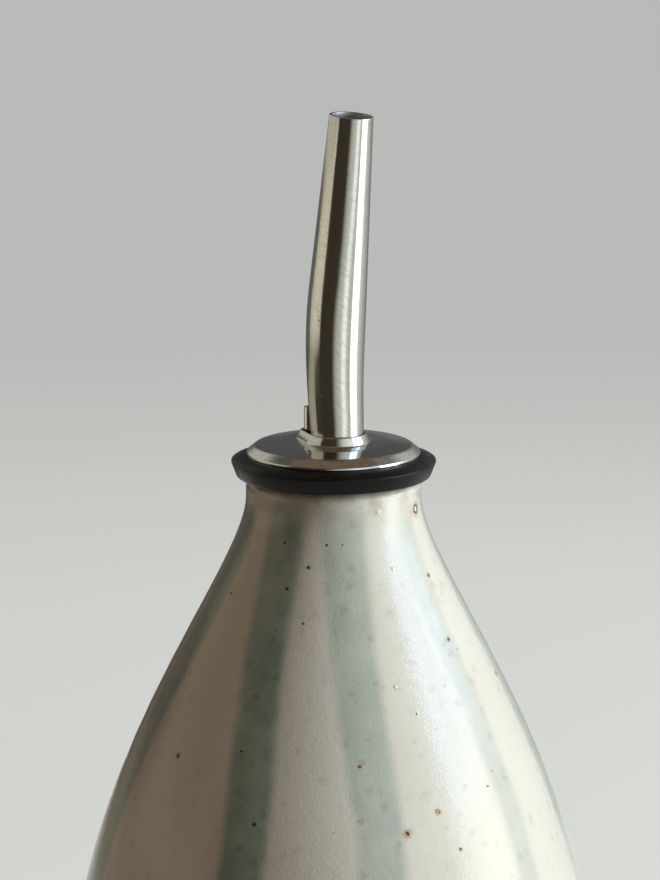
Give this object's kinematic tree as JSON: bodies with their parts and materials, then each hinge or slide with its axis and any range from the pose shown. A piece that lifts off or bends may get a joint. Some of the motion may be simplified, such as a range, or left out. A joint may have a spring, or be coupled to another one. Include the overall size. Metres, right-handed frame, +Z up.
{
  "type": "oil pourer",
  "caption": "Thrown stoneware oil bottle with soft brushed stripes, and a bent steel pouring spout with an air tube, held in its neck by a ribbed rubber stopper.",
  "frame": {"origin": "middle of the bottle's foot, on the surface it stands on", "axes": "+Z up along the bottle; the spout leans towards +X, away from the air tube"},
  "size_m": [0.09, 0.09, 0.2049],
  "materials": {
    "stoneware_glaze": "satin glaze, cream with pale green brushed stripes and iron specks",
    "stainless": "satin to bright stainless steel",
    "stopper_rubber": "matt black"
  },
  "bodies": {
    "bottle": {"bottle": "stoneware_glaze"},
    "pourer": {"stopper": "stopper_rubber", "disc": "stainless", "spout": "stainless", "air_tube": "stainless"}
  },
  "joints": [
    {"name": "pourer_pull", "type": "slide", "parent": "bottle", "child": "pourer", "axis": [0, 0, 1], "range_m": [0, 0.04]}
  ]
}
